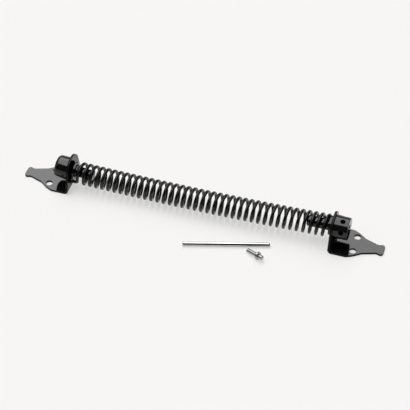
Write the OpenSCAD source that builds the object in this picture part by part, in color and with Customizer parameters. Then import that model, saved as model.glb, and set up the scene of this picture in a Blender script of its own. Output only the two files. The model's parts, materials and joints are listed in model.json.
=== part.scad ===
// Gate spring closer: a torsion spring between two bent plates, wound by a drum at the gate end.
// Millimetres. X runs along the spring, Z up from the mounting plane, origin midway between the plates.

/* [Plates] */
// Thickness of the sheet that both plates are stamped from
sheet_t = 2.5; // [2:0.1:3.5]
// Inside radius of the bend between plate and ear
bend_r = 2; // [2:0.5:4]
// Width of the plate at the bend
plate_w = 39.8; // [36:0.2:44]
// Length of the parallel sides, from the ear's inner face
side_len = 19.8; // [17:0.1:21]
// Length of the gently drawn-in part after the parallel sides
shoulder_len = 6.5; // [5:0.5:9]
// Width at the end of the drawn-in part
shoulder_w = 33.4; // [31:0.2:35]
// Length of the steep part after the shoulder
waist_len = 8; // [6:0.5:10]
// Width at the end of the steep part
waist_w = 21.6; // [19:0.2:25]
// Length of the slim taper down to the neck
taper_len = 14.5; // [11:0.5:20]
// Width at the neck
neck_w = 11.6; // [10:0.2:14]
// Length of the flared tail
tail_len = 7; // [6:0.5:10]
// Width across the flared tail's corners
tail_w = 17; // [16:0.2:20]
// Radius of the tail's round corners
tail_round = 3; // [1.5:0.5:4]
// Radius that softens the outline's other corners
side_round = 5; // [2:0.5:8]
// Diameter of the screw holes
screw_hole_d = 7.4; // [5:0.1:8.2]
// Distance between the two screw holes of a plate
screw_spacing = 21.2; // [19:0.2:22]
// Distance from the ear's inner face to the screw holes
screw_at = 25; // [23:0.1:26]

/* [Ears] */
// Distance between the two ears' inner faces
ear_gap = 287.4; // [240:0.2:340]
// Rim of the ear around the drum
ear_rim = 3; // [1:0.2:5]
// Clear height between the plate and the winding drum
under_gap = 6.5; // [5:0.1:12]

/* [Drums] */
// Diameter of the drum at the ear
drum_d = 25.1; // [23:0.1:28]
// Amount that the drum's diameter shrinks towards its outer end
drum_draft = 1.3; // [0.4:0.1:2]
// Length of the winding drum
winding_len = 15; // [14:0.1:20]
// Length of the anchor drum
anchor_len = 15; // [12:0.1:18]
// Rounding of the winding drum's outer edge
winding_edge = 0.6; // [0.2:0.1:1]
// Rounding of the anchor drum's outer edge
anchor_edge = 4; // [1:0.5:5]
// Number of winding holes round the winding drum
winding_holes = 6; // [4:1:6]
// Diameter of the winding holes
winding_hole_d = 5.3; // [4.5:0.1:6]
// Distance from the drum's inner face to the winding holes
winding_hole_at = 8.3; // [7.5:0.1:9]
// Depth of the winding holes
winding_hole_depth = 6.8; // [4:0.1:7]
// Turn of the first winding hole from the top towards the front
winding_hole_turn = 15; // [0:1:59]
// Diameter of the split pins that hold the drums on their spindles
drum_pin_d = 3; // [2:0.1:3.5]
// Distance from the drum's inner face to its split pin
drum_pin_at = 3; // [2.5:0.1:3.4]
// Depth of the split pin's ends below the drum
drum_pin_sink = 0.5; // [0.2:0.1:1]
// Turn of the anchor drum's split pin from the top towards the front
anchor_pin_turn = 92; // [0:1:180]
// Turn of the winding drum's split pin from the top towards the front
winding_pin_turn = 105; // [0:1:180]

/* [Spindles] */
// Diameter of the stub that carries the drum
stub_d = 9; // [7:0.1:10]
// Length of the stub that shows past the drum
stub_proud = 0.6; // [0:0.1:1.5]
// Step from the stub up to the journal's radius
journal_step = 0.5; // [0.3:0.1:1]
// Width across the anchor spindle's square shank
square_w = 9.4; // [9:0.1:11]
// Diameter of the flange that drives the spring
flange_d = 20.5; // [19:0.1:24]
// Thickness of the flange
flange_t = 2; // [1.5:0.1:3]
// Diameter of the boss between the anchor's flange and the spring
anchor_boss_d = 14.5; // [11:0.1:15]
// Length of the anchor's boss
anchor_boss_len = 1.8; // [1:0.1:2]
// Diameter of the boss that takes the spring's leg at the gate end
leg_boss_d = 11.8; // [11:0.1:12]
// Length of the leg's boss
leg_boss_len = 6; // [5.5:0.1:8]
// Wall of the lug round the spring's tail
lug_wall = 1; // [0.8:0.1:2]
// Length of the core inside the spring
core_len = 18; // [12:0.5:28]
// How far the anchor's hub has dropped in its tall hole
hub_drop = 2.2; // [0:0.1:2.4]
// Angle by which the anchor's hub droops in that hole, down towards the spring
hub_droop = 7; // [0:0.1:8]
// Wall of the bearing bush
bush_wall = 1.4; // [1:0.1:2]
// Thickness of the bush's collar
collar_t = 0.8; // [0.5:0.1:1.5]
// Diameter of the bush's collar
collar_d = 17.6; // [16:0.1:18]

/* [Spring] */
// Outside diameter of the spring
coil_d = 25; // [23:0.1:26]
// Diameter of the spring wire
wire_d = 3.5; // [2.6:0.1:3.6]
// Number of whole turns, besides the part turn between the ends' angles
whole_turns = 39; // [20:1:40]
// Angle round the spring where the post end bends into its tail
post_angle = 197; // [185:1:205]
// Angle round the spring where the gate end bends in to its leg
gate_angle = 18; // [5:1:25]
// Inside gap that the tail's and the leg's bend keep to their own centre
wire_bend_gap = 0.5; // [0.3:0.1:1]
// Length of the straight tail that the lug holds
spring_tail_len = 5.2; // [4:0.1:6]
// Length of the straight leg that the winding spindle's boss holds
spring_leg_len = 4.8; // [4:0.1:5.5]
// How far the spring hangs below the axis at the post end
post_hang = 4.7; // [1:0.1:5]
// How far the spring hangs below the axis at its lowest place
low_hang = 6.1; // [5:0.1:6.8]
// How far the spring hangs below the axis at the gate end
gate_hang = 1; // [0:0.1:1.2]
// Where along the spring it hangs lowest, from the middle towards the gate
low_at = -45; // [-60:1:0]

/* [Loose pieces] */
// Length of the tension rod
rod_len = 91; // [70:1:130]
// Chamfer at the ends of the rod and the pin
bar_chamfer = 0.6; // [0.2:0.1:1]
// Length of the locking pin's shank
shank_len = 14; // [10:0.5:20]
// Diameter of the locking pin's collar
pin_collar_d = 8.5; // [7:0.1:10]
// Thickness of the locking pin's collar
pin_collar_t = 2; // [1:0.1:3]
// Length of the locking pin's head
pin_head_len = 5.4; // [4:0.1:10]

/* [Fits] */
// Gap round a piece that is pressed or pinned in place
tight_gap = 0.02; // [0.01:0.01:0.05]
// Gap round a journal that turns
run_gap = 0.05; // [0.02:0.01:0.1]
// Gap beside a face that turns
face_gap = 0.1; // [0.05:0.05:0.3]
// Gap between the spring and the spindles
coil_gap = 0.35; // [0.2:0.05:0.6]
// Gap round the spring's tail in its lug and its leg in the boss
wire_gap = 0.2; // [0.1:0.05:0.4]
// Gap between the tail's end and the ear
tail_end_gap = 0.5; // [0.4:0.1:1]
// Gap round the rod and the locking pin in a winding hole
bar_gap = 0.25; // [0.1:0.05:0.5]

/* [Hidden] */
$fn = 96;

// Colours of the painted, plated and moulded pieces
paint_black = "#1b1b1d";
zinc = "#a9abae";
acetal = "#2a2a2c";

// Where the loose rod and pin lie in front of the spring, and the turn of each
rod_middle = [41.4, -41.5];
rod_turn = 16.7;
pin_tip = [64.7, -42.8];
pin_turn = -26;

// Plate and ear
bend_out = bend_r + sheet_t;
plate_len = side_len + shoulder_len + waist_len + taper_len + tail_len;
drum_r = drum_d / 2;
axis_h = sheet_t + under_gap + drum_r;
ear_r = drum_r + ear_rim;
ear_mid = ear_gap / 2;
arc_steps = 10;
edge_steps = 6;

// Places along the winding spindle, outwards from the ear's inner face
collar_face = -collar_t;
winding_flange = collar_face - face_gap;
winding_start = sheet_t + face_gap;

// Spindle and bush
stub_r = stub_d / 2;
journal_r = stub_r + journal_step;
bush_bore_r = journal_r + run_gap;
bush_r = bush_bore_r + bush_wall;
square_hole_w = square_w + 2 * run_gap;
square_hole_h = square_w / cos(hub_droop) + sheet_t * tan(hub_droop) + 2 * run_gap;

// Spring
rings = 8;
wire_sides = 6;
bend_steps = 4;
coil_r = (coil_d - wire_d) / 2;
wire_bend_r = wire_d / 2 + wire_bend_gap;
post_in = tail_end_gap + spring_tail_len + wire_bend_r;
gate_in = flange_t - winding_flange + coil_gap + wire_d / 2;
coil_start = post_in - ear_mid;
coil_stop = ear_mid - gate_in;
turns = whole_turns + (post_angle - gate_angle) / 360;
pitch = (coil_stop - coil_start) / turns;
tail_turn = 90 - atan(pitch / (2 * PI * coil_r));
ring_count = round(turns * rings);
end_angle = post_angle - 360 * turns;
tail_place = coil_r * around(post_angle) - wire_bend_r * (1 - cos(tail_turn)) * along(post_angle);
leg_floor = coil_r - wire_bend_r - spring_leg_len - wire_gap;

// Places along the anchor's hub, with room to droop, and of the lug for the tail
lug_r = wire_d / 2 + wire_gap + lug_wall;
lug_low = post_hang - hub_drop - tail_place.y + lug_r;
anchor_flange = sheet_t / 2 - droop_reach(max(flange_d / 2, lug_low));
anchor_start = sheet_t / 2 + droop_reach(drum_r);
lug_drop = (sheet_t / 2 - anchor_flange + flange_t / 2) * tan(hub_droop);
lug_place = [post_hang - hub_drop - tail_place.y - lug_drop, -tail_place.x];

// Cores inside the spring: as thick as the spring's hang leaves room for, at the ends of both
anchor_core_end = flange_t + anchor_boss_len + core_len - anchor_flange;
winding_core_end = flange_t + leg_boss_len + core_len - winding_flange;
hang_room = max(hang_at(ear_mid - winding_core_end), abs(post_offset(post_in)), abs(post_offset(anchor_core_end)));
core_r = (coil_r - wire_d / 2) * cos(180 / rings) - hang_room - coil_gap;
core_chamfer = core_r / 6;

// Rod and locking pin
bar_r = winding_hole_d / 2 - bar_gap;
pin_collar_r = pin_collar_d / 2;
pin_len = shank_len + pin_collar_t + pin_head_len;
pin_tilt = atan((pin_collar_r - bar_r) / (shank_len - bar_chamfer));
pin_lift = bar_r * cos(pin_tilt) - bar_chamfer * sin(pin_tilt);

// Room that a cut takes past a face, so that it opens cleanly
cut = 1;

// Unit vectors round the spring's axis, in Y and Z: outwards, and the way the wire runs
function around(angle) = [cos(angle), sin(angle)];
function along(angle) = [sin(angle), -cos(angle)];
function unit(v) = v / norm(v);

// Distance along a drooping hub, from the ear's middle, at which a disc of radius r clears the ear
function droop_reach(r) = (sheet_t / 2 + face_gap + r * sin(hub_droop)) / cos(hub_droop);

// Points of the arc that rounds corner q, between its neighbours p and s
function round_corner(p, q, s, r) =
    let (
        a = unit(p - q),
        b = unit(s - q),
        half = acos(a * b) / 2,
        centre = q + unit(a + b) * r / sin(half),
        first = q + a * r / tan(half) - centre,
        last = q + b * r / tan(half) - centre,
        from = atan2(first.y, first.x),
        turn = (atan2(last.y, last.x) - from + 540) % 360 - 180
    )
    [for (i = [0 : arc_steps]) centre + r * around(from + turn * i / arc_steps)];

// One side of the plate's outline, from the bend to the middle of the tail
function plate_side() =
    let (
        u1 = side_len,
        u2 = u1 + shoulder_len,
        u3 = u2 + waist_len,
        u4 = u3 + taper_len,
        bend = [bend_out, plate_w / 2],
        side = [u1, plate_w / 2],
        shoulder = [u2, shoulder_w / 2],
        waist = [u3, waist_w / 2],
        neck = [u4, neck_w / 2],
        corner = [plate_len, tail_w / 2],
        middle = [plate_len, 0]
    )
    concat(
        [bend],
        round_corner(bend, side, shoulder, side_round),
        round_corner(side, shoulder, waist, side_round),
        round_corner(shoulder, waist, neck, side_round),
        round_corner(waist, neck, corner, side_round),
        round_corner(neck, corner, middle, tail_round)
    );

function mirrored(points) = [for (i = [len(points) - 1 : -1 : 0]) [points[i].x, -points[i].y]];

// Point where the ear's straight side touches its round top
function ear_touch() =
    let (
        foot = [plate_w / 2, bend_out - axis_h],
        angle = atan2(foot.y, foot.x) + acos(ear_r / norm(foot))
    )
    ear_r * around(angle) + [0, axis_h];

// How far the spring hangs below the axis at a place along it: two arcs that meet at the lowest place
function hang_at(x) =
    x < low_at ? hang_arc(post_hang, (low_at - x) / (low_at - coil_start))
    : hang_arc(gate_hang, (x - low_at) / (coil_stop - low_at));
function hang_arc(end_hang, part) = low_hang + (end_hang - low_hang) * pow(min(part, 1), 2);

// How far the spring hangs below the drooping anchor's axis, at a distance in from the post's ear
function post_offset(inwards) =
    hang_at(inwards - ear_mid) - hub_drop - (inwards + sheet_t / 2) * tan(hub_droop);

// A place on the spring's path, and one ring of the wire's skin there
function spring_point(x, yz) = [x, yz.x, yz.y + axis_h - hang_at(x)];
function wire_ring(centre, way, angle) =
    let (
        out = concat([0], around(angle)),
        side = cross(way, out)
    )
    [for (k = [0 : wire_sides - 1])
        let (a = 360 * k / wire_sides)
        centre + wire_d / 2 * (out * cos(a) + side * sin(a))];

// The way the wire runs after turning from the axis by some angle
function wire_way(turned, angle) = concat([cos(turned)], sin(turned) * along(angle));

// The bend from the tail into the spring at the post end, after turning by some angle
function tail_bend(turned) =
    spring_point(
        coil_start - wire_bend_r * (sin(tail_turn) - sin(turned)),
        coil_r * around(post_angle) - wire_bend_r * (cos(turned) - cos(tail_turn)) * along(post_angle)
    );

// The bend from the spring in to the leg at the gate end, and the leg straight on from it
function leg_bend(angle) = (coil_r - wire_bend_r) * around(end_angle) + wire_bend_r * around(angle);
function leg_tip(angle) = leg_bend(angle) + spring_leg_len * along(angle);

// Every ring's centre, way and angle, from the post end to the gate end
function spring_rings() =
    concat(
        [[tail_bend(0) - [spring_tail_len, 0, 0], wire_way(0, post_angle), post_angle]],
        [for (i = [0 : bend_steps - 1])
            let (turned = tail_turn * i / bend_steps)
            [tail_bend(turned), wire_way(turned, post_angle), post_angle]],
        [for (i = [0 : ring_count])
            let (part = i / ring_count, angle = post_angle - 360 * turns * part)
            [spring_point(coil_start + pitch * turns * part, coil_r * around(angle)),
             wire_way(tail_turn, angle), angle]],
        [for (i = [1 : bend_steps])
            let (angle = end_angle - 90 * i / bend_steps)
            [spring_point(coil_stop, leg_bend(angle)), wire_way(90, angle), angle]],
        [let (angle = end_angle - 90)
            [spring_point(coil_stop, leg_tip(angle)), wire_way(90, angle), angle]]
    );

// Least gap between turns: ring centres that lie at least half a turn apart along the wire
function least_gap(path) =
    min([for (i = [0 : len(path) - 1], j = [i + 1 : 1 : len(path) - 1])
        if (path[i][2] - path[j][2] >= 180) norm(path[i][0] - path[j][0])]) - wire_d;

// Skin of a tube through rings of equal size, with flat ends, all in triangles
module tube(skin) {
    n = len(skin[0]);
    last = (len(skin) - 1) * n;
    sides = [for (i = [0 : len(skin) - 2], k = [0 : n - 1])
        let (a = i * n + k, b = i * n + (k + 1) % n)
        each [[a, a + n, b], [b, a + n, b + n]]];
    caps = [for (k = [1 : n - 2]) each [[0, k, k + 1], [last, last + k + 1, last + k]]];
    polyhedron(points = [for (ring = skin) each ring], faces = concat(sides, caps));
}

// Frames of the two ends: outwards is +X, from the ear's inner face
module at_gate() {
    translate([ear_mid, 0, 0]) children();
}

module at_post() {
    rotate([0, 0, 180]) at_gate() children();
}

// A frame on the spring's axis with Z outwards, at a place along the end frame
module on_axis(place) {
    translate([place, 0, axis_h]) rotate([0, 90, 0]) children();
}

// A frame on the spring's axis with Z turned from the top towards the front of the end frame
module radial(place, turn) {
    translate([place, 0, axis_h]) rotate([turn, 0, 0]) children();
}

// Bent plate with two screw holes; the ear's hole is the child, drawn in the ear's plane
module bracket() {
    side = plate_side();
    linear_extrude(sheet_t) difference() {
        polygon(concat(side, mirrored(side)));
        for (y = [-1, 1]) translate([screw_at, y * screw_spacing / 2]) circle(d = screw_hole_d);
    }
    translate([bend_out, plate_w / 2, bend_out]) rotate([90, 0, 0]) linear_extrude(plate_w)
        intersection() {
            difference() {
                circle(r = bend_out);
                circle(r = bend_r);
            }
            translate([-bend_out, -bend_out]) square(bend_out);
        }
    rotate([90, 0, 90]) linear_extrude(sheet_t) difference() {
        ear_outline();
        translate([0, axis_h]) children();
    }
}

module ear_outline() {
    touch = ear_touch();
    translate([0, axis_h]) circle(r = ear_r);
    polygon([[-plate_w / 2, bend_out], [plate_w / 2, bend_out], touch, [-touch.x, touch.y]]);
}

// The anchor's hub, which has dropped in its hole and droops about the middle of its ear
module drooping() {
    pivot = [sheet_t / 2, 0, axis_h];
    translate(pivot - [0, 0, hub_drop]) rotate([0, -hub_droop, 0]) translate(-pivot) children();
}

// Core, boss, flange and stub, which both spindles share, turned in one piece
module spindle_body(flange, boss_d, boss_len, stub_end) {
    flange_in = flange - flange_t;
    boss_in = flange_in - boss_len;
    core_in = boss_in - core_len;
    on_axis(0) rotate_extrude() polygon([
        [0, core_in], [core_r - core_chamfer, core_in], [core_r, core_in + core_chamfer],
        [core_r, boss_in], [boss_d / 2, boss_in], [boss_d / 2, flange_in],
        [flange_d / 2, flange_in], [flange_d / 2, flange], [stub_r, flange],
        [stub_r, stub_end], [0, stub_end]
    ]);
}

// Lug beside the anchor's flange that holds the spring's tail
module tail_lug() {
    on_axis(anchor_flange - flange_t) linear_extrude(flange_t) {
        translate(lug_place) circle(r = lug_r);
        rotate(atan2(lug_place.y, lug_place.x)) translate([0, -lug_r]) square([norm(lug_place), 2 * lug_r]);
    }
}

// Hole in the lug for the spring's tail, which lies along X and hangs with the spring
module tail_hole() {
    translate([-post_in, -tail_place.x, axis_h + tail_place.y - post_hang]) rotate([0, 90, 0])
        cylinder(d = wire_d + 2 * wire_gap, h = post_in);
}

// Hole in the winding spindle's boss for the spring's leg
module leg_hole() {
    translate([-gate_in, 0, axis_h - gate_hang]) rotate([gate_angle, 0, 0])
        translate([0, leg_floor, -wire_bend_r]) rotate([-90, 0, 0])
            cylinder(d = wire_d + 2 * wire_gap, h = leg_boss_d);
}

// Hole across a drum and its stub for the split pin
module pin_hole(start, turn) {
    radial(start + drum_pin_at, turn)
        cylinder(d = drum_pin_d + 2 * tight_gap, h = drum_d + 2 * cut, center = true);
}

// Drum turned to a slight draft with a round outer edge, bored for the stub and drilled for its split pin
module drum(start, drum_len, edge_r, pin_turn) {
    bore_r = stub_r + tight_gap;
    end_r = (drum_d - drum_draft) / 2;
    edge = [for (i = [0 : edge_steps])
        [end_r - edge_r, drum_len - edge_r] + edge_r * around(90 * i / edge_steps)];
    difference() {
        on_axis(start) rotate_extrude() polygon(concat([[bore_r, 0], [drum_r, 0]], edge, [[bore_r, drum_len]]));
        pin_hole(start, pin_turn);
    }
}

// Rolled spring pin, open along one side
module split_pin(start, turn) {
    pin_len = drum_d - drum_draft - 2 * drum_pin_sink;
    pin_wall = drum_pin_d / 5;
    radial(start + drum_pin_at, turn) difference() {
        cylinder(d = drum_pin_d, h = pin_len, center = true);
        cylinder(d = drum_pin_d - 2 * pin_wall, h = pin_len + 2 * cut, center = true);
        translate([drum_pin_d / 2, 0, 0]) cube([drum_pin_d, pin_wall, pin_len + 2 * cut], center = true);
    }
}

module post_bracket() {
    color(paint_black) at_post() bracket()
        translate([0, -hub_drop / 2]) square([square_hole_w, square_hole_h + hub_drop], center = true);
}

module anchor_spindle() {
    color(paint_black) at_post() difference() {
        drooping() difference() {
            union() {
                spindle_body(anchor_flange, anchor_boss_d, anchor_boss_len,
                             anchor_start + anchor_len + stub_proud);
                tail_lug();
                on_axis(anchor_flange)
                    linear_extrude(anchor_start - anchor_flange) square(square_w, center = true);
            }
            pin_hole(anchor_start, -anchor_pin_turn);
        }
        tail_hole();
    }
}

module anchor_drum() {
    color(paint_black) at_post() drooping() drum(anchor_start, anchor_len, anchor_edge, -anchor_pin_turn);
}

module anchor_drum_pin() {
    color(zinc) at_post() drooping() split_pin(anchor_start, -anchor_pin_turn);
}

module torsion_spring() {
    path = spring_rings();
    echo(str("Least gap of the spring to itself: ", least_gap(path), " mm, pitch ", pitch, " mm"));
    color(paint_black) tube([for (ring = path) wire_ring(ring[0], ring[1], ring[2])]);
}

module winding_spindle() {
    color(paint_black) at_gate() difference() {
        union() {
            spindle_body(winding_flange, leg_boss_d, leg_boss_len,
                         winding_start + winding_len + stub_proud);
            on_axis(winding_flange) cylinder(r = journal_r, h = winding_start - winding_flange);
        }
        pin_hole(winding_start, winding_pin_turn);
        leg_hole();
    }
}

module winding_drum() {
    floor_r = drum_r - drum_draft / 2 - winding_hole_depth;
    color(paint_black) at_gate() difference() {
        drum(winding_start, winding_len, winding_edge, winding_pin_turn);
        for (i = [0 : winding_holes - 1])
            radial(winding_start + winding_hole_at, winding_hole_turn + 360 * i / winding_holes)
                translate([0, 0, floor_r]) cylinder(d = winding_hole_d, h = drum_d);
    }
}

module winding_drum_pin() {
    color(zinc) at_gate() split_pin(winding_start, winding_pin_turn);
}

module gate_bush() {
    color(acetal) at_gate() on_axis(collar_face) rotate_extrude() polygon([
        [bush_bore_r, 0], [collar_d / 2, 0], [collar_d / 2, collar_t], [bush_r, collar_t],
        [bush_r, collar_t + sheet_t], [bush_bore_r, collar_t + sheet_t]
    ]);
}

module gate_bracket() {
    color(paint_black) at_gate() bracket() circle(r = bush_r + tight_gap);
}

module tension_rod() {
    color(zinc) translate([rod_middle.x, rod_middle.y, bar_r]) rotate([0, 0, rod_turn])
        translate([-rod_len / 2, 0, 0]) rotate([0, 90, 0]) rotate_extrude() polygon([
            [0, 0], [bar_r - bar_chamfer, 0], [bar_r, bar_chamfer], [bar_r, rod_len - bar_chamfer],
            [bar_r - bar_chamfer, rod_len], [0, rod_len]
        ]);
}

module locking_pin() {
    collar_end = shank_len + pin_collar_t;
    color(zinc) translate([pin_tip.x, pin_tip.y, pin_lift]) rotate([0, 90 - pin_tilt, pin_turn])
        rotate_extrude() polygon([
            [0, 0], [bar_r - bar_chamfer, 0], [bar_r, bar_chamfer], [bar_r, shank_len],
            [pin_collar_r, shank_len], [pin_collar_r, collar_end], [bar_r, collar_end],
            [bar_r, pin_len - bar_chamfer], [bar_r - bar_chamfer, pin_len], [0, pin_len]
        ]);
}

post_bracket();
anchor_spindle();
anchor_drum();
anchor_drum_pin();
torsion_spring();
winding_spindle();
winding_drum();
winding_drum_pin();
gate_bush();
gate_bracket();
tension_rod();
locking_pin();
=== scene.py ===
"""Finished looks of the gate spring closer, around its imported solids. Metres, +Z up, X along the spring."""
import json
import math

import bpy
from mathutils import Matrix, Vector

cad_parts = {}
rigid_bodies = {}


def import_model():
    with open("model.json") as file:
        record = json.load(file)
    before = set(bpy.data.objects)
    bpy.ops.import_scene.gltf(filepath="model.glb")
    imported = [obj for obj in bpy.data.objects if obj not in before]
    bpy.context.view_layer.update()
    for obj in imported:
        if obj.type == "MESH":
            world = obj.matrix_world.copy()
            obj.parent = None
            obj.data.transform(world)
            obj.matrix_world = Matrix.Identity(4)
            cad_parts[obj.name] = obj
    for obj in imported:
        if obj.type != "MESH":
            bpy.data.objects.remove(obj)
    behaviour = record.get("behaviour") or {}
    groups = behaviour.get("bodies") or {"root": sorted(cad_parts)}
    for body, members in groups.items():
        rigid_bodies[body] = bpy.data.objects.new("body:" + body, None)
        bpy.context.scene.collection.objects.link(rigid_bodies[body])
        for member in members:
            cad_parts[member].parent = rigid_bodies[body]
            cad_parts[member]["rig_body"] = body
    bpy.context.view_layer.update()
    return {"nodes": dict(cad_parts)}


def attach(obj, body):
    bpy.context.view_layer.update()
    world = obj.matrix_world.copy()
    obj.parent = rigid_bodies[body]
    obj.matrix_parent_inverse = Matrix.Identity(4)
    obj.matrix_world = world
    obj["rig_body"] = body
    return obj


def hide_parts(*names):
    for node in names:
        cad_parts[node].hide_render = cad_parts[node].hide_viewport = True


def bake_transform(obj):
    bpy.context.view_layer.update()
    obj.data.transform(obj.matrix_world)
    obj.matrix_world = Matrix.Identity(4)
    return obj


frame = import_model()

MM = 0.001

# The viewpoint, fitted to the plates, the drums and the rod
VIEW_ELEVATION = math.radians(43.719)
VIEW_AZIMUTH = math.radians(17.823)
VIEW_TARGET = Vector((1.667, 10.321, 0.0)) * MM
VIEW_DISTANCE = 1600 * MM
VIEW_FOCUS_PX = 1497.6
VIEW_NEAREST = 0.05
VIEW_FURTHEST = 50
IMAGE_PX = 410
SENSOR = 36.0

# The spring's sizes, as in the part's source
AXIS_HEIGHT = 21.55 * MM
WIRE = 3.5 * MM
COIL_RADIUS = 10.75 * MM
WIRE_BEND = 2.25 * MM
TAIL = 5.2 * MM
LEG = 4.8 * MM
COIL_START = -135.75 * MM
COIL_STOP = 138.7 * MM
POST_ANGLE = math.radians(197)
GATE_ANGLE = math.radians(18)
WHOLE_TURNS = 39
TURNS = WHOLE_TURNS + (POST_ANGLE - GATE_ANGLE) / (2 * math.pi)
POST_HANG = 4.7 * MM
LOW_HANG = 6.1 * MM
GATE_HANG = 1.0 * MM
LOW_AT = -45 * MM

# How finely the spring is drawn, and how its cut ends are eased
POINTS_PER_TURN = 40
BEND_STEPS = 8
WIRE_ROUNDNESS = 4
CUT_END_EDGE = 0.35 * MM
CUT_END_SEGMENTS = 2
CUT_END_ANGLE = math.radians(60)
WIRE_SMOOTH_ANGLE = math.radians(40)

# How the solids are cleaned and eased: points closer than one distance are joined, faces flatter than one
# angle are made whole, and edges sharper than another are rounded
JOIN_DISTANCE = 0.001 * MM
FLAT_ANGLE = math.radians(0.2)
EASE_ANGLE = math.radians(28)
EASE_SEGMENTS = 3
SMOOTH_ANGLE = math.radians(32)
FLATS_WEIGHT = 100

# Brackets, bent from sheet: where the flat plate begins along X and the ear along Z. A cut side of the
# sheet faces less than one share the way its broad faces do, and near the bend it faces more than another
# share along Y
SHEET_PIECES = ["post_bracket", "gate_bracket"]
PLATE_FROM = 152 * MM
EAR_FROM = 8 * MM
CUT_BROAD_SHARE = 0.5
CUT_Y_SHARE = 0.3

# How the loose pieces lie, for the direction of their drawn finish, and how far its lines are drawn out
ROD_TURN = math.radians(16.7)
ROD_DRAWN = 30
PIN_TURN = math.radians(-26.0)
PIN_DRAWN = 12

# Noise: the part of it that colours and roughness run over, and how much its finer features count
NOISE_LOW = 0.3
NOISE_HIGH = 0.7
NOISE_ROUGHNESS = 0.5

# Black paint: its colours and roughness on broad faces and where it is thin on edges, the size of its
# clouds and of its orange peel, and the peel's depth
PAINT_COLOURS = ((0.004, 0.004, 0.0043), (0.008, 0.008, 0.0085))
PAINT_ROUGHNESS = (0.05, 0.09)
EDGE_COLOURS = ((0.005, 0.005, 0.005), (0.009, 0.009, 0.009))
EDGE_ROUGHNESS = (0.3, 0.4)
PAINT_SHINE = 0.5
EDGE_SHINE = 0.15
PAINT_INDEX = 1.42
PAINT_CLOUD = 9 * MM
PEEL = 1.1 * MM
PEEL_DEPTH = 0.06 * MM
PEEL_STRENGTH = 0.08

# Bright zinc: its colours and roughness, the size of its clouds and drawn lines, and the lines' depth
ZINC_COLOURS = ((0.4, 0.4, 0.405), (0.48, 0.48, 0.485))
ZINC_ROUGHNESS = (0.06, 0.11)
ZINC_CLOUD = 6 * MM
DRAWN_LINE = 0.35 * MM
LINE_DEPTH = 0.01 * MM
LINE_STRENGTH = 0.1

# Black acetal: its colours and roughness, and its grain
ACETAL_COLOURS = ((0.018, 0.018, 0.019), (0.03, 0.03, 0.031))
ACETAL_ROUGHNESS = (0.42, 0.55)
GRAIN = 0.5 * MM
GRAIN_DEPTH = 0.03 * MM
GRAIN_STRENGTH = 0.15

# Light: a dim room, and a long softbox overhead to the left that is brighter at its left side. Its sides,
# middle and width are directions' shares along X, and its tilt back and its length are angles in degrees;
# width and length say how far it is full and where it ends
ROOM = 0.0257
SOFTBOX = (5.47, 4.38)
SOFTBOX_SIDES = (-0.36, -0.08)
SOFTBOX_MIDDLE = -0.18
SOFTBOX_WIDTH = (0.18, 0.22)
SOFTBOX_TILT = 13
SOFTBOX_LENGTH = (38, 45)

# Round lights, a lamp at the front left, one high at the left and a glow low at the back: strength, place
# to the left of straight back, height, and where each is full and ends, in degrees
LAMPS = [
    (0.9, 125, 40, (12, 20)),
    (2.67, 68, 57, (13, 18)),
    (0.45, 10, 4, (26, 36)),
]

# Floor: its colour, the share of it that keeps the object's shadow, its roughness, reach and number of
# corners
FLOOR_COLOUR = (0.930, 0.922, 0.905)
FLOOR_SHADOW = 0.42
FLOOR_ROUGHNESS = 0.9
FLOOR_RADIUS = 12
FLOOR_CORNERS = 64


# Material building blocks

def new_material(name):
    material = bpy.data.materials.new(name)
    material.use_nodes = True
    tree = material.node_tree
    shader = tree.nodes["Principled BSDF"]
    return material, tree, shader


def placed_coordinates(tree, scale=(1, 1, 1), turn=0.0):
    """Object coordinates, turned about Z and stretched, in metres."""
    coords = tree.nodes.new("ShaderNodeTexCoord")
    mapping = tree.nodes.new("ShaderNodeMapping")
    mapping.vector_type = "TEXTURE"
    mapping.inputs["Rotation"].default_value = (0, 0, turn)
    mapping.inputs["Scale"].default_value = scale
    tree.links.new(coords.outputs["Object"], mapping.inputs["Vector"])
    return mapping.outputs["Vector"]


def noise(tree, vector, size, detail):
    """Noise whose features are about one size across, in metres."""
    node = tree.nodes.new("ShaderNodeTexNoise")
    node.inputs["Scale"].default_value = 1.0 / size
    node.inputs["Detail"].default_value = detail
    node.inputs["Roughness"].default_value = NOISE_ROUGHNESS
    tree.links.new(vector, node.inputs["Vector"])
    return node.outputs["Fac"]


def mapped(tree, value, low, high, from_low=NOISE_LOW, from_high=NOISE_HIGH):
    node = tree.nodes.new("ShaderNodeMapRange")
    node.inputs["From Min"].default_value = from_low
    node.inputs["From Max"].default_value = from_high
    node.inputs["To Min"].default_value = low
    node.inputs["To Max"].default_value = high
    tree.links.new(value, node.inputs["Value"])
    return node.outputs["Result"]


def tinted(tree, value, dark, light):
    ramp = tree.nodes.new("ShaderNodeValToRGB")
    ends = ramp.color_ramp.elements
    ends[0].position = NOISE_LOW
    ends[0].color = (*dark, 1)
    ends[1].position = NOISE_HIGH
    ends[1].color = (*light, 1)
    tree.links.new(value, ramp.inputs["Fac"])
    return ramp.outputs["Color"]


def bumped(tree, shader, height, depth, strength):
    bump = tree.nodes.new("ShaderNodeBump")
    bump.inputs["Strength"].default_value = strength
    bump.inputs["Distance"].default_value = depth
    tree.links.new(height, bump.inputs["Height"])
    tree.links.new(bump.outputs["Normal"], shader.inputs["Normal"])


# The finishes

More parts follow.
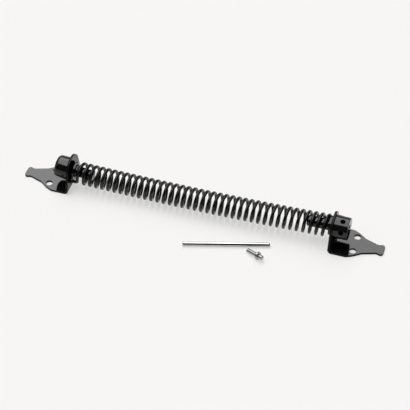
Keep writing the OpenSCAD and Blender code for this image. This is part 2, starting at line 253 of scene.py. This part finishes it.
def gloss_black_paint(name, colours, roughness, shine):
    """Stoved gloss paint: nearly black, a little cloudy, with a faint orange peel."""
    material, tree, shader = new_material(name)
    place = placed_coordinates(tree)
    cloud = noise(tree, place, PAINT_CLOUD, detail=4)
    peel = noise(tree, place, PEEL, detail=2)
    tree.links.new(tinted(tree, cloud, *colours), shader.inputs["Base Color"])
    tree.links.new(mapped(tree, cloud, *roughness), shader.inputs["Roughness"])
    bumped(tree, shader, peel, PEEL_DEPTH, PEEL_STRENGTH)
    shader.inputs["IOR"].default_value = PAINT_INDEX
    shader.inputs["Specular IOR Level"].default_value = shine
    return material


def bright_zinc(name, turn, drawn_out):
    """Bright plate on drawn bar: faint lines along the bar and soft grey clouds."""
    material, tree, shader = new_material(name)
    place = placed_coordinates(tree)
    drawn = placed_coordinates(tree, scale=(drawn_out, 1, 1), turn=turn)
    cloud = noise(tree, place, ZINC_CLOUD, detail=4)
    lines = noise(tree, drawn, DRAWN_LINE, detail=2)
    tree.links.new(tinted(tree, cloud, *ZINC_COLOURS), shader.inputs["Base Color"])
    tree.links.new(mapped(tree, lines, *ZINC_ROUGHNESS), shader.inputs["Roughness"])
    bumped(tree, shader, lines, LINE_DEPTH, LINE_STRENGTH)
    shader.inputs["Metallic"].default_value = 1.0
    return material


def black_acetal(name):
    """Moulded plastic with a fine satin grain."""
    material, tree, shader = new_material(name)
    grain = noise(tree, placed_coordinates(tree), GRAIN, detail=3)
    tree.links.new(tinted(tree, grain, *ACETAL_COLOURS), shader.inputs["Base Color"])
    tree.links.new(mapped(tree, grain, *ACETAL_ROUGHNESS), shader.inputs["Roughness"])
    bumped(tree, shader, grain, GRAIN_DEPTH, GRAIN_STRENGTH)
    return material


PAINT = gloss_black_paint("gloss_black_paint", PAINT_COLOURS, PAINT_ROUGHNESS, PAINT_SHINE)
PAINT_EDGE = gloss_black_paint("thin_paint_on_edges", EDGE_COLOURS, EDGE_ROUGHNESS, EDGE_SHINE)
SPRING_PAINT = gloss_black_paint("spring_paint", PAINT_COLOURS, PAINT_ROUGHNESS, PAINT_SHINE)
ROD_ZINC = bright_zinc("rod_zinc", ROD_TURN, ROD_DRAWN)
PIN_ZINC = bright_zinc("pin_zinc", PIN_TURN, PIN_DRAWN)
SPLIT_PIN_ZINC = bright_zinc("split_pin_zinc", 0.0, 1)
ACETAL = black_acetal("black_acetal")


# Pieces that follow their solids, with the edges eased

def alone(piece):
    """Make a piece the only one that the next operators work on."""
    bpy.ops.object.select_all(action="DESELECT")
    piece.select_set(True)
    bpy.context.view_layer.objects.active = piece


def join_points(whole_flats):
    """Join the active mesh's double points and turn its faces outwards; make its flats whole if asked."""
    bpy.ops.object.mode_set(mode="EDIT")
    bpy.ops.mesh.select_all(action="SELECT")
    bpy.ops.mesh.remove_doubles(threshold=JOIN_DISTANCE)
    if whole_flats:
        bpy.ops.mesh.dissolve_limited(angle_limit=FLAT_ANGLE)
        bpy.ops.mesh.select_all(action="SELECT")
    bpy.ops.mesh.normals_make_consistent(inside=False)
    bpy.ops.object.mode_set(mode="OBJECT")


def rounded(piece, name, sharper_than, width, segments, material=-1):
    """Round a piece's sharp edges; a material of -1 keeps that of the faces beside each edge."""
    bevel = piece.modifiers.new(name, "BEVEL")
    bevel.limit_method = "ANGLE"
    bevel.angle_limit = sharper_than
    bevel.width = width
    bevel.segments = segments
    bevel.material = material
    bpy.ops.object.modifier_apply(modifier=bevel.name)


def flat_shaded(piece):
    """Shade a piece so that its broad faces look flat up to their rounded edges."""
    bpy.ops.object.shade_smooth_by_angle(angle=SMOOTH_ANGLE)
    flats = piece.modifiers.new("true flats", "WEIGHTED_NORMAL")
    flats.mode = "FACE_AREA"
    flats.weight = FLATS_WEIGHT
    flats.keep_sharp = True
    bpy.ops.object.modifier_apply(modifier=flats.name)


def is_cut_side(face):
    """Whether a face of a bracket is one of the sheet's cut sides and not one of its two broad faces."""
    if abs(face.center.x) > PLATE_FROM:
        return abs(face.normal.z) < CUT_BROAD_SHARE
    sideways = abs(face.normal.y) > CUT_Y_SHARE or face.center.z > EAR_FROM
    return abs(face.normal.x) < CUT_BROAD_SHARE and sideways


def eased_piece(node, edge, finish, edge_finish):
    """A piece in the shape of a solid, its flats made whole and its sharp edges rounded."""
    mesh = frame["nodes"][node].data.copy()
    piece = bpy.data.objects.new(node + "_finished", mesh)
    bpy.context.scene.collection.objects.link(piece)
    alone(piece)
    mesh.materials.clear()
    mesh.materials.append(finish)
    mesh.materials.append(edge_finish)
    join_points(whole_flats=True)
    for face in mesh.polygons:
        face.material_index = int(node in SHEET_PIECES and is_cut_side(face))
    rounded(piece, "eased edges", EASE_ANGLE, edge, EASE_SEGMENTS, material=1)
    flat_shaded(piece)
    body = frame["nodes"][node]["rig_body"]
    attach(piece, body)
    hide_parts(node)


# Each solid, the rounding of its edges in millimetres, its finishes and its slot
EASED = [
    ("post_bracket", 0.3, PAINT, PAINT_EDGE, "black_paint"),
    ("gate_bracket", 0.3, PAINT, PAINT_EDGE, "black_paint"),
    ("anchor_drum", 0.45, PAINT, PAINT_EDGE, "black_paint"),
    ("winding_drum", 0.45, PAINT, PAINT_EDGE, "black_paint"),
    ("anchor_spindle", 0.35, PAINT, PAINT_EDGE, "black_paint"),
    ("winding_spindle", 0.35, PAINT, PAINT_EDGE, "black_paint"),
    ("tension_rod", 0.25, ROD_ZINC, ROD_ZINC, "zinc"),
    ("locking_pin", 0.25, PIN_ZINC, PIN_ZINC, "zinc"),
    ("anchor_drum_pin", 0.12, SPLIT_PIN_ZINC, SPLIT_PIN_ZINC, "zinc"),
    ("winding_drum_pin", 0.12, SPLIT_PIN_ZINC, SPLIT_PIN_ZINC, "zinc"),
    ("gate_bush", 0.15, ACETAL, ACETAL, "acetal"),
]
for node, edge, finish, edge_finish, slot in EASED:
    eased_piece(node, edge * MM, finish, edge_finish)


# The spring: one wire, wound left-handed, hanging between its ends

def around(angle):
    """The way out from the coil's axis at an angle."""
    return Vector((0, math.cos(angle), math.sin(angle)))


def along(angle):
    """The way the wire runs round the coil at an angle."""
    return Vector((0, math.sin(angle), -math.cos(angle)))


def hang(x):
    """How far the coil's middle hangs below the drums' axis at a place along it."""
    if x < LOW_AT:
        end_hang, part = POST_HANG, (LOW_AT - x) / (LOW_AT - COIL_START)
    else:
        end_hang, part = GATE_HANG, (x - LOW_AT) / (COIL_STOP - LOW_AT)
    return LOW_HANG + (end_hang - LOW_HANG) * min(part, 1) ** 2


def hung(x, place):
    return Vector((x, place.y, place.z + AXIS_HEIGHT - hang(x)))


def spring_path():
    """The wire's middle line: straight tail, bend, turns, bend inwards, straight leg."""
    pitch = (COIL_STOP - COIL_START) / TURNS
    slope = math.pi / 2 - math.atan(pitch / (2 * math.pi * COIL_RADIUS))
    last = POST_ANGLE - 2 * math.pi * TURNS
    path = []
    for i in range(BEND_STEPS):
        turned = slope * i / BEND_STEPS
        x = COIL_START - WIRE_BEND * (math.sin(slope) - math.sin(turned))
        drawn_in = WIRE_BEND * (math.cos(turned) - math.cos(slope))
        path.append(hung(x, COIL_RADIUS * around(POST_ANGLE) - drawn_in * along(POST_ANGLE)))
    path.insert(0, path[0] - Vector((TAIL, 0, 0)))
    count = round(TURNS * POINTS_PER_TURN)
    for i in range(count + 1):
        angle = POST_ANGLE - 2 * math.pi * TURNS * i / count
        path.append(hung(COIL_START + pitch * TURNS * i / count, COIL_RADIUS * around(angle)))
    for i in range(1, BEND_STEPS + 1):
        angle = last - math.pi / 2 * i / BEND_STEPS
        bend = (COIL_RADIUS - WIRE_BEND) * around(last) + WIRE_BEND * around(angle)
        path.append(hung(COIL_STOP, bend))
    path.append(path[-1] + LEG * along(last - math.pi / 2))
    return path


def drawn_wire(name, path):
    """A round wire with closed ends along a path, as a mesh."""
    bpy.ops.object.select_all(action="DESELECT")
    bpy.ops.curve.primitive_nurbs_path_add()
    wire = bpy.context.object
    wire.name = name
    shape = wire.data
    shape.splines.clear()
    line = shape.splines.new("POLY")
    line.points.add(len(path) - 1)
    for point, place in zip(line.points, path):
        point.co = (*place, 1)
    shape.bevel_depth = WIRE / 2
    shape.bevel_resolution = WIRE_ROUNDNESS
    shape.use_fill_caps = True
    alone(wire)
    bpy.ops.object.convert(target="MESH")
    return bpy.context.object


def wound_spring():
    wire = drawn_wire("wound_spring", spring_path())
    join_points(whole_flats=False)
    rounded(wire, "cut ends", CUT_END_ANGLE, CUT_END_EDGE, CUT_END_SEGMENTS)
    bpy.ops.object.shade_smooth_by_angle(angle=WIRE_SMOOTH_ANGLE)
    wire.data.materials.clear()
    wire.data.materials.append(SPRING_PAINT)
    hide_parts("torsion_spring")
    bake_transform(wire)


wound_spring()


# Floor, light and camera

def combined(tree, operation, first, second):
    """A calculation in nodes, on two sockets or on a socket and a number."""
    node = tree.nodes.new("ShaderNodeMath")
    node.operation = operation
    for socket, value in zip(node.inputs, (first, second)):
        if isinstance(value, float):
            socket.default_value = value
        else:
            tree.links.new(value, socket)
    return node.outputs["Value"]


def pale_floor():
    """A pale floor that keeps part of the shadow, and looks as pale to the eye as in reflections."""
    bpy.ops.object.select_all(action="DESELECT")
    bpy.ops.mesh.primitive_circle_add(vertices=FLOOR_CORNERS, radius=FLOOR_RADIUS, fill_type="NGON")
    floor = bpy.context.object
    floor.name = "pale_floor"
    material, tree, shader = new_material("pale_floor")
    shader.inputs["Base Color"].default_value = (*(v * FLOOR_SHADOW for v in FLOOR_COLOUR), 1)
    shader.inputs["Emission Color"].default_value = (*FLOOR_COLOUR, 1)
    shader.inputs["Roughness"].default_value = FLOOR_ROUGHNESS
    shader.inputs["Specular IOR Level"].default_value = 0.0
    rays = tree.nodes.new("ShaderNodeLightPath").outputs
    seen = combined(tree, "ADD", rays["Is Camera Ray"], rays["Is Glossy Ray"])
    seen = combined(tree, "ADD", seen, rays["Is Transmission Ray"])
    paleness = mapped(tree, seen, 0.0, 1 - FLOOR_SHADOW, 0.0, 1.0)
    tree.links.new(paleness, shader.inputs["Emission Strength"])
    floor.data.materials.append(material)


def towards(left, height):
    """A direction, in degrees to the left of straight back and above the floor."""
    azimuth = math.radians(left)
    elevation = math.radians(height)
    flat = math.cos(elevation)
    return (-math.sin(azimuth) * flat, math.cos(azimuth) * flat, math.sin(elevation))


def facing(tree, direction, way):
    """How squarely a direction faces a way, from -1 to 1."""
    dot = tree.nodes.new("ShaderNodeVectorMath")
    dot.operation = "DOT_PRODUCT"
    dot.inputs[1].default_value = way
    tree.links.new(direction, dot.inputs[0])
    return dot.outputs["Value"]


def cosines(spread):
    """The cosines where a light ends and where it is full, from the angles where it is full and ends."""
    full, none = spread
    return math.cos(math.radians(none)), math.cos(math.radians(full))


def softbox_light(tree, direction):
    overhead = towards(0.0, 90 - SOFTBOX_TILT)
    length = mapped(tree, facing(tree, direction, overhead), 0.0, 1.0, *cosines(SOFTBOX_LENGTH))
    sideways = facing(tree, direction, (1, 0, 0))
    offset = combined(tree, "ABSOLUTE", combined(tree, "SUBTRACT", sideways, SOFTBOX_MIDDLE), 0.0)
    width = mapped(tree, offset, 1.0, 0.0, *SOFTBOX_WIDTH)
    brightness = mapped(tree, sideways, *SOFTBOX, *SOFTBOX_SIDES)
    return combined(tree, "MULTIPLY", brightness, combined(tree, "MULTIPLY", length, width))


def soft_daylight():
    world = bpy.data.worlds.new("soft_daylight")
    world.use_nodes = True
    bpy.context.scene.world = world
    tree = world.node_tree
    direction = tree.nodes.new("ShaderNodeTexCoord").outputs["Generated"]
    light = combined(tree, "ADD", softbox_light(tree, direction), ROOM)
    for strength, left, height, spread in LAMPS:
        squarely = facing(tree, direction, towards(left, height))
        lamp = mapped(tree, squarely, 0.0, strength, *cosines(spread))
        light = combined(tree, "ADD", light, lamp)
    tree.links.new(light, tree.nodes["Background"].inputs["Strength"])
    tree.nodes["Background"].inputs["Color"].default_value = (1, 1, 1, 1)


def viewpoint():
    right = Vector((math.cos(VIEW_AZIMUTH), math.sin(VIEW_AZIMUTH), 0))
    level = Vector((-math.sin(VIEW_AZIMUTH), math.cos(VIEW_AZIMUTH), 0))
    ahead = level * math.cos(VIEW_ELEVATION) - Vector((0, 0, math.sin(VIEW_ELEVATION)))
    up = right.cross(ahead)
    camera = bpy.data.objects.new("viewpoint", bpy.data.cameras.new("viewpoint"))
    bpy.context.scene.collection.objects.link(camera)
    place = Matrix((right, up, -ahead)).transposed().to_4x4()
    place.translation = VIEW_TARGET - ahead * VIEW_DISTANCE
    camera.matrix_world = place
    camera.data.sensor_width = SENSOR
    camera.data.lens = VIEW_FOCUS_PX / IMAGE_PX * SENSOR
    camera.data.clip_start = VIEW_NEAREST
    camera.data.clip_end = VIEW_FURTHEST
    bpy.context.scene.camera = camera


pale_floor()
soft_daylight()
viewpoint()
bpy.context.scene.view_settings.view_transform = "Standard"

bpy.context.view_layer.update()
